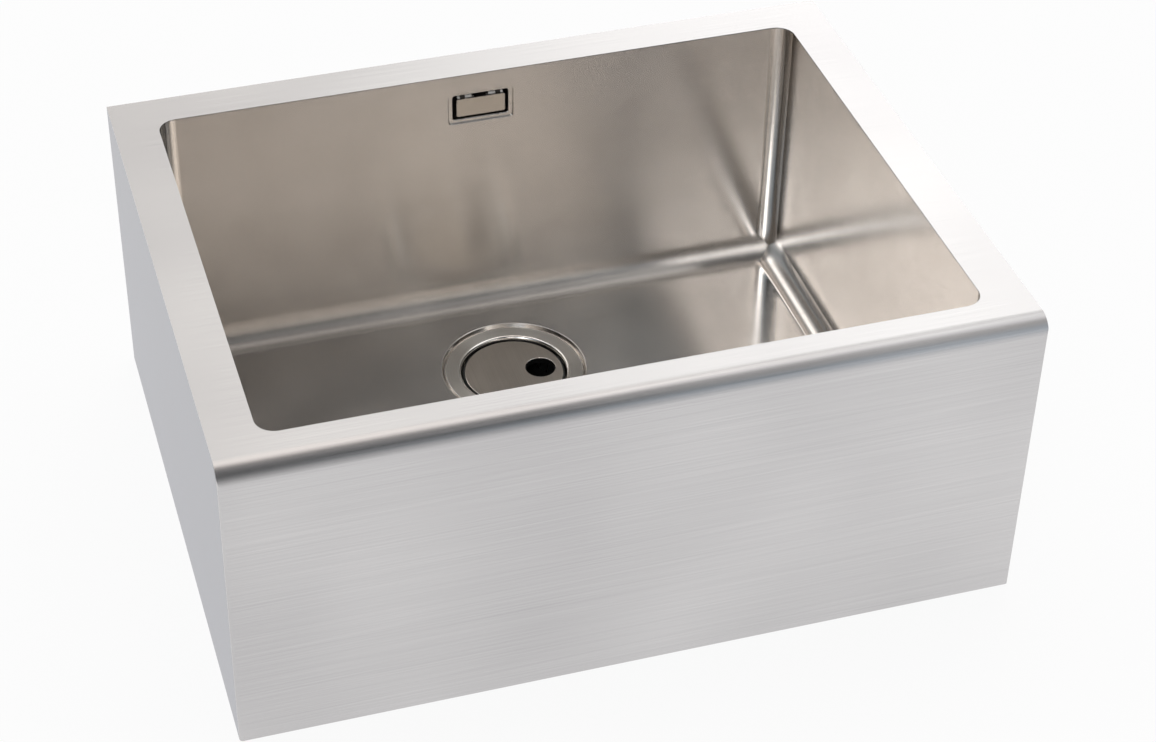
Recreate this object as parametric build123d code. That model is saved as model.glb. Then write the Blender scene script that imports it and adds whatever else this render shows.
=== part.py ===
from build123d import *
import os

# Apron front kitchen sink of folded and welded stainless sheet, with a basket strainer waste and overflow.
# Millimetres. X runs left to right, Y from the apron to the back, Z up from the base on which it stands.

os.makedirs("parts", exist_ok=True)

# ---- casing ----
width = 600.0  # outside, left to right
depth = 460.0  # outside, apron to back
height = 255.0  # base to deck
sheet = 1.2  # gauge of every folded sheet
roll_r = 15.0  # roll where the deck turns down into the apron
edge_r = 2.5  # bend of the apron's upright edges
return_leg = 4.0  # how far the apron turns back round each side
seam_gap = 0.2  # butt seam between apron and side panel
base_leg = 12.0  # flat of the base frame, on which the sink stands
base_upstand = 14.0  # upstand of the base frame, spot welded inside the panels

# ---- bowl ----
side_ledge = 34.5  # deck beside the bowl
front_ledge = 32.5  # deck in front of it
back_ledge = 32.5  # deck behind it
bowl_depth = 230.0  # deck to bowl floor
corner_r = 15.0  # upright corners, in plan
floor_r = 20.0  # between walls and floor
pressing_r = 0.9  # edges of the pressings in floor and wall

# ---- waste seat, pressed into the bowl floor ----
waste_inset = 99.5  # waste centre from the bowl's back wall
dish_r = 60.5
dish_depth = 3.8
dish_slope = 2.2  # how far its wall leans in

# ---- strainer body, one stainless pressing ----
flange_r = 57.5
flange_t = 0.8
flange_lip = 1.4  # depth of its turned-down rim
flange_edge = 0.5  # bevel on that rim
cup_r = 44.0  # inside of the cup
cup_depth = 31.8  # flange top to cup floor
cup_lip_r = 3.0  # rolled lip between flange and cup
cup_floor_r = 5.0
drain_count = 8
drain_in = 12.0  # the drain slots run from this radius
drain_out = 31.0  # to this one
drain_w = 7.0
seal_t = 0.8  # flat seal under the flange
seal_w = 8.0
cup_clear = 1.4  # cup to the hole in the bowl floor

# ---- waste housing, moulded ----
gasket_t = 2.0
gasket_inset = 1.0  # behind the housing's rim
housing_wall = 3.0
housing_gap = 3.7  # waterway between cup and housing
housing_rim_w = 5.5  # clamping rim outside the housing's wall
housing_rim_t = 3.0
housing_straight = 35.0  # rim top to the start of the funnel
funnel_h = 19.0
funnel_r = 5.0  # where the funnel starts
tail_r = 23.9  # outlet tail, for an inch and a half nut
tail_bore = 20.9
tail_h = 24.0
tail_chamfer = 1.5
gusset_count = 10
gusset_w = 2.4
gusset_h = 9.0
gusset_inset = 0.5  # behind the rim's edge
boss_r = 8.0
boss_h = 20.0
boss_floor = 1.2  # its closed lower end
boss_gap = 1.0  # cup floor to boss
spoke_w = 3.2
spoke_h = 14.0
spoke_count = 4

# ---- fixing screw and its insert ----
screw_r = 2.9
screw_head_r = 6.5
screw_head_h = 3.2
screw_head_bevel = 1.4
screw_slot = 1.3
screw_l = 20.0  # under the head
screw_clear = 0.4  # in the cup floor
insert_r = 5.0
insert_l = 14.0
thread_clear = 0.1

# ---- basket, moulded, under the cover ----
basket_clear = 0.8  # rim to cup
basket_wall = 1.8
basket_rim_w = 2.6
basket_bottom_r = 34.0  # outside, at the floor
basket_foot = 1.6  # bevel round the floor
basket_edge = 0.6  # bevel on the rim
basket_slots = 24
slot_w = 2.6
slot_margin = 3.4  # solid band above and below the slots
floor_slot_count = 10
floor_slot_w = 3.0
floor_slot_in = 9.0
floor_slot_out = 25.0
post_r = 3.6
post_foot = 2.0  # flare at the post's foot
knob_r = 7.0
knob_t = 3.5
knob_edge = 1.1  # bevel on the knob
knob_drop = 3.0  # knob top below the rim
seal_ring_h = 5.0  # rubber ring between basket and cup floor
seal_ring_in = 26.0
seal_ring_out = 32.0
seal_ring_t = 2.0  # at its inner edge
seal_lip_r = 33.0  # lip that lies on the cup floor
seal_lip_w = 3.5
seal_lip_t = 1.5
rest_gap = 0.1  # between pieces that lie loose on each other

# ---- waste cover ----
cover_r = 41.2
cover_t = 1.5
cover_drop = 4.6  # cover top below the bowl floor
cover_edge = 0.4
finger_r = 12.5
finger_x = 23.0  # finger hole from the cover's centre
skirt_clear = 0.4  # carrier skirt inside the basket's mouth
skirt_w = 2.4
skirt_h = 5.0
skirt_below = 1.0  # the basket's mouth runs straight this far below the skirt
web_t = 1.2
collar_short = 1.0  # the collar ends this far above the skirt

# ---- overflow pressing in the back wall ----
overflow_drop = 31.8  # overflow centre below the deck
press_w = 54.5
press_h = 29.0
press_depth = 1.5
press_r = 3.0
port_w = 47.0
port_h = 22.7
port_r = 2.0
port_lip = 4.0  # flanged edge of the port, behind the pressing

# ---- overflow housing, moulded, behind the wall ----
chamber_clear = 1.0  # port lip to chamber wall
chamber_wall = 2.0
flat_gasket_t = 1.0
flat_gasket_w = 1.5
ear_w = 14.0
ear_h = 13.0
ear_t = 3.0
ear_r = 6.0
stud_r = 2.0
stud_l = 12.0
stud_clear = 0.2
nut_flats = 7.0
nut_t = 3.2

# ---- overflow pipe ----
pipe_r = 9.5
pipe_wall = 1.5
pipe_bend = 28.0
pipe_clear = 0.2
socket_wall = 2.8
socket_l = 17.0
socket_depth = 12.0
ring_nut_wall = 1.5
ring_nut_l = 14.0
ring_nut_cover = 8.0  # how far the nut runs over the socket
flute_count = 12
flute_w = 2.4
flute_depth = 0.6
washer_t = 2.0
inlet_drop = 25.0  # the waste's side inlet below the bowl floor

# ---- overflow cover ----
plate_w = 41.0
plate_h = 16.5
plate_t = 0.8
plate_r = 1.5
plate_sink = 0.5  # cover face behind the wall's face
plate_flange = 4.0
notch_w = 10.0
clip_w = 4.0
clip_t = 0.5
clip_x = 15.0
clip_rise = 1.0  # run over which a finger rises from the flange
clip_crest = 1.0  # its crest, under the middle of the port's lip
clip_reach = 7.0
clip_toe = 1.0  # how far its toe stays off the flange's level
clip_gap = 0.3  # crest to lip

# ---- sound-deadening pads ----
pad_t = 3.0
pad_margin = 40.0  # bare wall round each pad
pad_low = 60.0  # bare wall below the wall pads
pad_r = 6.0
waste_margin = 9.0  # bare floor beside the waste seat

# ---- modelling ----
overrun = 1.0  # how far a cut runs past a face
near = 0.01  # within which edges are picked

# ---- places that follow ----
half_w = width / 2
half_d = depth / 2
deck_under = height - sheet
bowl_x = half_w - side_ledge
bowl_front = front_ledge - half_d
bowl_back = half_d - back_ledge
floor_z = height - bowl_depth
wall_back = bowl_back + sheet  # outer face of the back wall

waste_y = bowl_back - waste_inset
waste = Pos(0, waste_y, 0)
dish_z = floor_z - dish_depth  # top of the seat
dish_under = dish_z - sheet
flange_top = dish_z + seal_t + flange_t
cup_outer = cup_r + flange_t
cup_z = flange_top - cup_depth  # cup floor, upper face
cup_under = cup_z - flange_t
floor_hole_r = cup_outer + cup_clear

rim_z = dish_under - gasket_t  # housing's rim, upper face
housing_bore = cup_outer + housing_gap
housing_r = housing_bore + housing_wall
rim_r = housing_r + housing_rim_w
funnel_z = rim_z - housing_straight
tail_z = funnel_z - funnel_h  # where the tail starts
outlet_z = tail_z - tail_h
boss_z = cup_under - boss_gap
inlet_z = floor_z - inlet_drop

cover_top = floor_z - cover_drop
cover_under = cover_top - cover_t
basket_top = cover_under - rest_gap
basket_z = cup_z + seal_ring_h + rest_gap  # basket floor, lower face
basket_rim_r = cup_r - basket_clear
basket_top_r = basket_rim_r - basket_rim_w
mouth_r = basket_top_r - basket_wall
mouth_z = cover_under - skirt_h - skirt_below  # below this the basket tapers

overflow_z = height - overflow_drop
press_face = bowl_back + press_depth  # floor of the pressing
press_back = press_face + sheet
port_end = press_face + port_lip
chamber_w = port_w + 2 * (sheet + chamber_clear)
chamber_h = port_h + 2 * (sheet + chamber_clear)
chamber_y = press_back + flat_gasket_t
stud_x = chamber_w / 2 + chamber_wall + ear_w - ear_h / 2

pipe_y = (wall_back + half_d - sheet) / 2  # midway between bowl and rear panel
socket_bore = pipe_r + pipe_clear
socket_r = socket_bore + socket_wall
ring_nut_r = socket_r + thread_clear + ring_nut_wall
chamber_back = pipe_y + socket_r
upper_mouth = overflow_z - chamber_h / 2 - chamber_wall - socket_l
lower_mouth = waste_y + housing_r + socket_l


def slab(size_x, size_y, z_low, z_high):
    """A block centred on the Z axis, between two heights."""
    return Pos(0, 0, (z_low + z_high) / 2) * Box(size_x, size_y, z_high - z_low)


def turned(points, rounds=()):
    """A solid turned about Z from its outline of (radius, height) points, with some corners rounded."""
    outline = make_face(Polyline(*points, close=True))
    for corner, radius in rounds:
        outline = fillet(outline.vertices().sort_by_distance(corner)[0], radius)
    return revolve(Plane.XZ * outline, Axis.Z)


def rod(radius, z_low, z_high):
    """A round bar about Z, between two heights."""
    return Pos(0, 0, z_low) * extrude(Circle(radius), z_high - z_low)


def ring(inner, outer, z_low, z_high):
    """A flat ring about Z, between two heights."""
    return rod(outer, z_low, z_high) - rod(inner, z_low, z_high)


def rod_y(radius, y_front, y_back, height_z):
    """A round bar along Y, between two depths, over the sink's middle."""
    return Pos(0, y_back, height_z) * extrude(Plane.XZ * Circle(radius), y_back - y_front)


def wall_form(size_x, size_z, corner, y_front, y_back):
    """A rounded rectangular block through the back wall, centred on the overflow."""
    outline = Plane.XZ * RectangleRounded(size_x, size_z, corner)
    return Pos(0, y_back, overflow_z) * extrude(outline, y_back - y_front)


# ---- casing ----
def casing_skin():
    """The whole folded skin: deck, front roll, apron and both sides, open at the back and below."""
    block = slab(width, depth, 0, height)
    front_top = block.edges().filter_by(Axis.X).group_by(Axis.Y)[0].sort_by(Axis.Z)[-1]
    rolled = fillet(front_top, roll_r)
    upright = fillet(block.edges().filter_by(Axis.Z).group_by(Axis.Y)[0], edge_r)
    return (rolled & upright) - (under_deck() & inside_plan(2 * depth))


def under_deck():
    """Everything behind the apron sheet and below the deck sheet, wider and deeper than the casing."""
    block = Pos(0, sheet + depth / 2, 0) * slab(2 * width, 2 * depth, -height, deck_under)
    front_top = block.edges().filter_by(Axis.X).group_by(Axis.Y)[0].sort_by(Axis.Z)[-1]
    return fillet(front_top, roll_r - sheet)


def inside_plan(length):
    """A tall block that fills the casing inside its side panels, from the apron back for a length."""
    front = sheet - half_d
    block = Pos(0, front + length / 2, 0) * slab(width - 2 * sheet, length, -height, height)
    return fillet(block.edges().filter_by(Axis.Z).group_by(Axis.Y)[0], edge_r - sheet)


def behind(y_front):
    """The space under the deck behind a given depth."""
    return under_deck() & (Pos(0, y_front + depth, 0) * slab(2 * width, 2 * depth, -height, height))


def deck_apron():
    """Deck and apron in one sheet, folded over the front roll, with the bowl's opening cut in it."""
    folded = casing_skin() - behind(return_leg - half_d)
    return folded - bowl_form(0, height + sheet)


def side_panel(side):
    """A side panel that fills in under the deck sheet, from the apron's return to the back."""
    panels = casing_skin() & behind(return_leg + seam_gap - half_d)
    return panels & (Pos(side * half_w, 0, 0) * slab(width, 2 * depth, -height, height))


def rear_panel():
    """A plain sheet between the side panels."""
    return Pos(0, half_d - sheet / 2, 0) * slab(width - 2 * sheet, sheet, 0, deck_under)


def base_frame():
    """A frame folded up inside the panels, whose flat stands on the cabinet."""
    inside = inside_plan(depth - 2 * sheet)
    outer = inside & slab(width, depth, 0, base_upstand)
    hollow = slab(width - 4 * sheet, depth - 4 * sheet, sheet, height)
    window = slab(width - 2 * sheet - 2 * base_leg, depth - 2 * sheet - 2 * base_leg, -height, height)
    return outer - hollow - window


# ---- bowl ----
def bowl_form(grow, top):
    """The bowl's space, grown by a thickness: three rounded blocks meet, so the corners mitre crisply."""
    size_x = 2 * (bowl_x + grow)
    size_y = bowl_back - bowl_front + 2 * grow
    middle = Pos(0, (bowl_front + bowl_back) / 2, 0)
    block = middle * slab(size_x, size_y, floor_z - grow, top)
    across = fillet(block.edges().filter_by(Axis.X).group_by(Axis.Z)[0], floor_r + grow)
    along = fillet(block.edges().filter_by(Axis.Y).group_by(Axis.Z)[0], floor_r + grow)
    upright = fillet(block.edges().filter_by(Axis.Z), corner_r + grow)
    return across & along & upright


def dish_form(grow):
    """The waste seat's space, grown downwards by a thickness, from just above the floor."""
    wall_r = dish_r + grow
    return waste * turned(
        [
            (0, floor_z + sheet),
            (wall_r, floor_z + sheet),
            (wall_r, floor_z - grow),
            (wall_r - dish_slope, dish_z - grow),
            (0, dish_z - grow),
        ]
    )


def bowl():
    """Bowl with the waste seat pressed into its floor and the overflow pressing in its back wall."""
    inside = bowl_form(0, height) + dish_form(0)
    inside += wall_form(press_w, press_h, press_r, bowl_back - overrun, press_face)
    outside = bowl_form(sheet, deck_under)
    outside += dish_form(sheet) & slab(width, depth, dish_under - overrun, floor_z)
    outside += wall_form(press_w + 2 * sheet, press_h + 2 * sheet, press_r + sheet, bowl_back, press_back)
    outside += wall_form(port_w + 2 * sheet, port_h + 2 * sheet, port_r + sheet, bowl_back, port_end)
    shell = outside - inside - wall_form(port_w, port_h, port_r, bowl_back - overrun, port_end + overrun)
    shell -= waste * rod(floor_hole_r, dish_under - overrun, floor_z)
    dish_edge = shell.edges().filter_by(GeomType.CIRCLE).filter_by(
        lambda e: abs(e.radius - dish_r) < near and abs(e.center().Z - floor_z) < near
    )
    shell = fillet(dish_edge, pressing_r)
    front_edges = shell.edges().filter_by(
        lambda e: abs(e.center().Y - bowl_back) < near and on_outline(e, press_w, press_h)
    )
    shell = fillet(front_edges, pressing_r)
    port_edges = shell.edges().filter_by(
        lambda e: abs(e.center().Y - press_face) < near and on_outline(e, port_w, port_h)
    )
    return fillet(port_edges, pressing_r)


def on_outline(edge, size_x, size_z):
    """Whether an edge lies round the overflow on a rectangle of this size."""
    box = edge.bounding_box()
    reach_x = max(abs(box.min.X), abs(box.max.X))
    reach_z = max(abs(box.min.Z - overflow_z), abs(box.max.Z - overflow_z))
    flat = box.max.Y - box.min.Y < near
    inside = reach_x < size_x / 2 + near and reach_z < size_z / 2 + near
    return flat and inside and (reach_x > size_x / 2 - near or reach_z > size_z / 2 - near)


# ---- waste ----
def strainer_body():
    """Flange, rolled lip and cup drawn in one pressing, with drain slots in the cup's floor."""
    rim_under = flange_top - flange_t
    body = turned(
        [
            (screw_r + screw_clear, cup_z),
            (cup_r, cup_z),
            (cup_r, flange_top),
            (flange_r - flange_edge, flange_top),
            (flange_r, flange_top - flange_edge),
            (flange_r, flange_top - flange_lip),
            (flange_r - flange_t, flange_top - flange_lip),
            (flange_r - flange_t, rim_under),
            (cup_outer, rim_under),
            (cup_outer, cup_under),
            (screw_r + screw_clear, cup_under),
        ],
        [
            ((cup_r, cup_z), cup_floor_r - flange_t),
            ((cup_outer, cup_under), cup_floor_r),
            ((cup_r, flange_top), cup_lip_r),
            ((cup_outer, rim_under), cup_lip_r - flange_t),
        ],
    )
    slot = SlotCenterToCenter(drain_out - drain_in - drain_w, drain_w)
    half_pitch = 180 / drain_count
    drains = Sketch() + PolarLocations((drain_in + drain_out) / 2, drain_count, half_pitch) * slot
    return waste * (body - Pos(0, 0, cup_under) * extrude(drains, flange_t))


def flange_seal():
    """Flat seal between the strainer's flange and the pressed seat."""
    outer = flange_r - flange_t - rest_gap
    return waste * ring(outer - seal_w, outer, dish_z, dish_z + seal_t)


def under_gasket():
    """Thick gasket that the housing presses up against the underside of the seat."""
    return waste * ring(housing_bore, rim_r - gasket_inset, rim_z, dish_under)


def waste_housing():
    """Moulded housing: clamping rim on gussets, funnel, outlet tail, side inlet and the screw's boss."""
    outer = turned(
        [
            (0, rim_z),
            (rim_r, rim_z),
            (rim_r, rim_z - housing_rim_t),
            (housing_r, rim_z - housing_rim_t),
            (housing_r, funnel_z),
            (tail_r, tail_z),
            (tail_r, outlet_z + tail_chamfer),
            (tail_r - tail_chamfer, outlet_z),
            (0, outlet_z),
        ],
        [((housing_r, funnel_z), funnel_r)],
    )
    inner = turned(
        [
            (0, rim_z),
            (housing_bore, rim_z),
            (housing_bore, funnel_z),
            (tail_bore, tail_z),
            (tail_bore, outlet_z),
            (0, outlet_z),
        ]
    )
    mouth_y = housing_r + socket_l
    wall_y = housing_bore - housing_wall
    socket = rod_y(socket_r, wall_y, mouth_y, inlet_z)
    counterbore = rod_y(socket_bore, mouth_y - socket_depth, mouth_y, inlet_z)
    waterway = rod_y(pipe_r - pipe_wall, wall_y, mouth_y, inlet_z)
    body = (outer + gussets() + socket) - inner
    boss = rod(boss_r, boss_z - boss_h, boss_z)
    core = boss + [spoke & outer for spoke in spokes()]
    seat = rod(insert_r + thread_clear, boss_z - insert_l, boss_z)
    screw_hole = rod(screw_r + screw_clear, boss_z - boss_h + boss_floor, boss_z)
    return waste * (body + core - waterway - counterbore - seat - screw_hole)


def gussets():
    """Three-cornered ribs that carry the clamping rim on the housing's wall."""
    top = rim_z - housing_rim_t
    root = housing_r - housing_wall / 2
    foot = top - gusset_h
    side = Polyline((root, top), (rim_r - gusset_inset, top), (housing_r, foot), (root, foot), close=True)
    gusset = extrude(Plane.XZ * make_face(side), gusset_w / 2, both=True)
    return [Rot(0, 0, (i + 0.5) * 360 / gusset_count) * gusset for i in range(gusset_count)]


def spokes():
    """Upright ribs that hold the boss in the middle of the waterway, level with its lower end."""
    spoke = Pos(housing_bore / 2, 0, boss_z - boss_h + spoke_h / 2) * Box(housing_bore, spoke_w, spoke_h)
    return [Rot(0, 0, (i + 0.5) * 360 / spoke_count) * spoke for i in range(spoke_count)]


def waste_insert():
    """Brass insert moulded into the boss."""
    return waste * ring(screw_r + thread_clear, insert_r, boss_z - insert_l, boss_z)


def waste_screw():
    """Slotted screw that pulls strainer and housing together."""
    head = chamfer(Cylinder(screw_head_r, screw_head_h).edges().group_by(Axis.Z)[-1], screw_head_bevel)
    head = Pos(0, 0, cup_z + screw_head_h / 2) * head
    shank = rod(screw_r, cup_z - screw_l, cup_z)
    slot = Pos(0, 0, cup_z + screw_head_h) * Box(3 * screw_head_r, screw_slot, screw_head_h)
    return waste * (head + shank - slot)


# ---- basket, the most skilful piece ----
def basket():
    """Tapered basket with slotted wall and floor, a rim to lift it by and a post with a knob."""
    floor_top = basket_z + basket_wall
    body = turned(
        [
            (0, basket_z),
            (basket_bottom_r - basket_foot, basket_z),
            (basket_bottom_r, basket_z + basket_foot),
            (basket_top_r, mouth_z),
            (basket_top_r, basket_top - basket_wall),
            (basket_rim_r, basket_top - basket_wall),
            (basket_rim_r, basket_top - basket_edge),
            (basket_rim_r - basket_edge, basket_top),
            (mouth_r, basket_top),
            (mouth_r, mouth_z),
            (basket_bottom_r - basket_wall, floor_top),
            (0, floor_top),
        ]
    )
    slot_low = floor_top + slot_margin
    slot_high = basket_top - basket_wall - slot_margin
    slot_in = basket_bottom_r - 3 * basket_wall
    slot = Box(basket_rim_r - slot_in, slot_w, slot_high - slot_low)
    slot = Pos((basket_rim_r + slot_in) / 2, 0, (slot_high + slot_low) / 2) * slot
    wall_slots = [Rot(0, 0, 360 / basket_slots * (i + 0.5)) * slot for i in range(basket_slots)]
    floor_slot = SlotCenterToCenter(floor_slot_out - floor_slot_in - floor_slot_w, floor_slot_w)
    floor_slots = PolarLocations((floor_slot_in + floor_slot_out) / 2, floor_slot_count) * floor_slot
    body = body - wall_slots - Pos(0, 0, basket_z) * extrude(Sketch() + floor_slots, basket_wall)
    return waste * (body + basket_post(floor_top))


def basket_post(floor_top):
    """The post and knob that stand on the basket's floor."""
    top = basket_top - knob_drop
    under = top - knob_t
    return turned(
        [
            (0, floor_top - basket_wall / 2),
            (post_r + post_foot, floor_top - basket_wall / 2),
            (post_r + post_foot, floor_top),
            (post_r, floor_top + post_foot),
            (post_r, under),
            (knob_r - knob_edge, under),
            (knob_r, under + knob_edge),
            (knob_r, top - knob_edge),
            (knob_r - knob_edge, top),
            (0, top),
        ]
    )


def basket_seal():
    """Rubber ring under the basket that closes the drain slots off when the basket is pressed home."""
    low = cup_z + rest_gap
    return waste * turned(
        [
            (seal_ring_in, basket_z),
            (seal_ring_in, basket_z - seal_ring_t),
            (seal_lip_r - seal_lip_w, low),
            (seal_lip_r, low),
            (seal_lip_r - seal_lip_t, low + seal_lip_t),
            (seal_ring_out, basket_z),
        ]
    )


def cover_plate():
    """Brushed stainless disc with a finger hole near its edge."""
    disc = rod(cover_r, cover_under, cover_top)
    disc = chamfer(disc.edges().filter_by(GeomType.CIRCLE).group_by(Axis.Z)[-1], cover_edge)
    return waste * (disc - finger_hole())


def finger_hole():
    """The finger hole's space, through the cover and its carrier."""
    return Pos(finger_x, 0, 0) * rod(finger_r, cover_under - skirt_h - overrun, cover_top + overrun)


def cover_carrier():
    """Moulded carrier glued under the disc: its skirt centres the cover in the basket's mouth."""
    skirt_r = mouth_r - skirt_clear
    low = cover_under - skirt_h
    skirt = ring(skirt_r - skirt_w, skirt_r, low, cover_under)
    skirt = chamfer(skirt.edges().group_by(Axis.Z)[0].sort_by(SortBy.RADIUS)[-1], skirt_w / 2)
    inside_skirt = rod(skirt_r - skirt_w / 2, low, cover_under)
    collar = Pos(finger_x, 0, 0) * rod(finger_r + skirt_w, low + collar_short, cover_under)
    web = inside_skirt & slab(width, depth, cover_under - web_t, cover_under)
    return waste * (skirt + web + (collar & inside_skirt) - finger_hole())


# ---- overflow ----
def overflow_housing():
    """Moulded chamber behind the port, with two ears for its studs and a socket for the pipe below."""
    outer_w = chamber_w + 2 * chamber_wall
    outer_h = chamber_h + 2 * chamber_wall
    outer = wall_form(outer_w, outer_h, port_r + chamber_wall, chamber_y, chamber_back)
    inner = wall_form(chamber_w, chamber_h, port_r, chamber_y - overrun, chamber_back - chamber_wall)
    ears = Box(2 * (stud_x + ear_h / 2), ear_t, ear_h)
    ears = fillet(ears.edges().filter_by(Axis.Y), ear_r)
    ears = Pos(0, chamber_y + ear_t / 2, overflow_z) * ears
    socket = Pos(0, pipe_y, 0) * rod(socket_r, upper_mouth, overflow_z - chamber_h / 2)
    waterway = Pos(0, pipe_y, 0) * rod(pipe_r - pipe_wall, upper_mouth, overflow_z)
    counterbore = Pos(0, pipe_y, 0) * rod(socket_bore, upper_mouth, upper_mouth + socket_depth)
    hole = rod_y(stud_r + stud_clear, chamber_y - overrun, chamber_y + ear_t + overrun, overflow_z)
    holes = [Pos(side * stud_x, 0, 0) * hole for side in (-1, 1)]
    return outer + ears + socket - inner - waterway - counterbore - holes


def overflow_gasket():
    """Flat gasket between the pressing and the chamber."""
    outer_w = chamber_w + 2 * flat_gasket_w
    outer_h = chamber_h + 2 * flat_gasket_w
    outer = wall_form(outer_w, outer_h, port_r + flat_gasket_w, press_back, chamber_y)
    return outer - wall_form(chamber_w, chamber_h, port_r, press_back - overrun, chamber_y + overrun)


def overflow_studs():
    """Two studs welded to the outer face of the back wall."""
    stud = rod_y(stud_r, wall_back, wall_back + stud_l, overflow_z)
    return [Pos(side * stud_x, 0, 0) * stud for side in (-1, 1)]


def overflow_nuts():
    """Their nuts, which clamp the chamber's ears."""
    hexagon = RegularPolygon(nut_flats / 2, 6, major_radius=False)
    blank = Plane.XZ * (hexagon - Circle(stud_r + thread_clear))
    nut = Pos(0, chamber_y + ear_t + nut_t, overflow_z) * extrude(blank, nut_t)
    return [Pos(side * stud_x, 0, 0) * nut for side in (-1, 1)]


def overflow_cover():
    """Small stainless cover with turned-back flanges; water passes the gap round it."""
    face_y = bowl_back + plate_sink
    plate = wall_form(plate_w, plate_h, plate_r, face_y, face_y + plate_t)
    flange_w = plate_w - 2 * plate_r
    block = Pos(0, face_y + plate_flange / 2, overflow_z) * Box(flange_w, plate_flange, plate_h)
    inside = Pos(0, face_y + plate_t + plate_flange, overflow_z)
    block -= inside * Box(width, 2 * plate_flange, plate_h - 2 * plate_t)
    notch = Pos(0, face_y + plate_t + plate_flange, overflow_z + plate_h / 2)
    block -= notch * Box(notch_w, 2 * plate_flange, 2 * plate_flange)
    return plate + block


def overflow_clips():
    """Four spring fingers on the cover's flanges that grip the port's lip."""
    start_y = bowl_back + plate_sink + plate_t
    crest_y = (press_face + port_end - clip_crest) / 2
    end_y = start_y + clip_reach
    low = plate_h / 2
    high = port_h / 2 - clip_gap
    strip = make_face(
        Polyline(
            (start_y, low),
            (crest_y - clip_rise, low),
            (crest_y, high - clip_t),
            (crest_y + clip_crest, high - clip_t),
            (end_y, low + clip_toe),
            (end_y, low + clip_toe + clip_t),
            (crest_y + clip_crest, high),
            (crest_y, high),
            (crest_y - clip_rise, low + clip_t),
            (start_y, low + clip_t),
            close=True,
        )
    )
    finger = extrude(Plane.YZ * strip, clip_w / 2, both=True)
    pair = [Pos(side * clip_x, 0, overflow_z) * finger for side in (-1, 1)]
    lower = [Pos(0, 0, overflow_z) * mirror(Pos(0, 0, -overflow_z) * one, Plane.XY) for one in pair]
    return pair + lower


def overflow_pipe():
    """Rigid bent pipe from the overflow chamber down behind the bowl and forward to the waste."""
    top = upper_mouth + socket_depth - rest_gap
    end = lower_mouth - socket_depth + rest_gap
    path = FilletPolyline((0, pipe_y, top), (0, pipe_y, inlet_z), (0, end, inlet_z), radius=pipe_bend)
    start = Plane((0, pipe_y, top), z_dir=(0, 0, -1))
    return sweep(start * (Circle(pipe_r) - Circle(pipe_r - pipe_wall)), path)


def ring_nut():
    """Fluted ring nut about Z that opens upwards over a socket whose mouth is at height 0."""
    low = ring_nut_cover - ring_nut_l
    body = rod(ring_nut_r, low, ring_nut_cover)
    body -= rod(socket_r + thread_clear, -washer_t, ring_nut_cover)
    body -= rod(socket_bore, low, ring_nut_cover)
    flutes = Sketch() + PolarLocations(ring_nut_r, flute_count) * Rectangle(2 * flute_depth, flute_w)
    return body - Pos(0, 0, low) * extrude(flutes, ring_nut_l)


def pipe_washer():
    """Rubber washer about Z that the nut presses against the socket's mouth."""
    return ring(socket_bore, socket_r - rest_gap, -washer_t, 0)


def at_upper(piece):
    """Places a piece made about Z at the chamber's socket, which opens downwards."""
    return Pos(0, pipe_y, upper_mouth) * piece


def at_lower(piece):
    """Places a piece made about Z at the waste's side inlet, which opens backwards."""
    return Pos(0, lower_mouth, inlet_z) * Rot(90, 0, 0) * piece


# ---- pads ----
def pad(size_a, size_b):
    """A flat pad with rounded corners, lying on the XY plane."""
    return extrude(RectangleRounded(size_a, size_b, pad_r), pad_t)


def wall_pad_z():
    """Middle height and height of the pads on the walls."""
    low = floor_z + pad_low
    high = deck_under - pad_margin
    return (low + high) / 2, high - low


def side_pad(side):
    """Pad glued to the outside of a side wall of the bowl."""
    middle_z, size_z = wall_pad_z()
    size_y = bowl_back - bowl_front - 2 * (corner_r + pad_margin)
    centre = (side * (bowl_x + sheet), (bowl_front + bowl_back) / 2, middle_z)
    return Plane(centre, x_dir=(0, 1, 0), z_dir=(side, 0, 0)) * pad(size_y, size_z)


def front_pad():
    """Pad on the outside of the front wall."""
    middle_z, size_z = wall_pad_z()
    face = Plane((0, bowl_front - sheet, middle_z), x_dir=(1, 0, 0), z_dir=(0, -1, 0))
    return face * pad(2 * (bowl_x - corner_r - pad_margin), size_z)


def rear_pad(side):
    """Pad on the back wall, one each side of the overflow."""
    middle_z, size_z = wall_pad_z()
    inner = stud_x + ear_h
    outer = bowl_x - corner_r - pad_margin
    face = Plane((side * (inner + outer) / 2, wall_back, middle_z), x_dir=(1, 0, 0), z_dir=(0, 1, 0))
    return face * pad(outer - inner, size_z)


def floor_pad(side):
    """Pad under the bowl floor, one each side of the waste seat."""
    inner = dish_r + sheet + waste_margin
    outer = bowl_x - floor_r - pad_margin / 2
    size_y = bowl_back - bowl_front - 2 * floor_r - pad_margin
    centre = (side * (inner + outer) / 2, (bowl_front + bowl_back) / 2, floor_z - sheet)
    return Plane(centre, x_dir=(1, 0, 0), z_dir=(0, 0, -1)) * pad(outer - inner, size_y)


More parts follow.
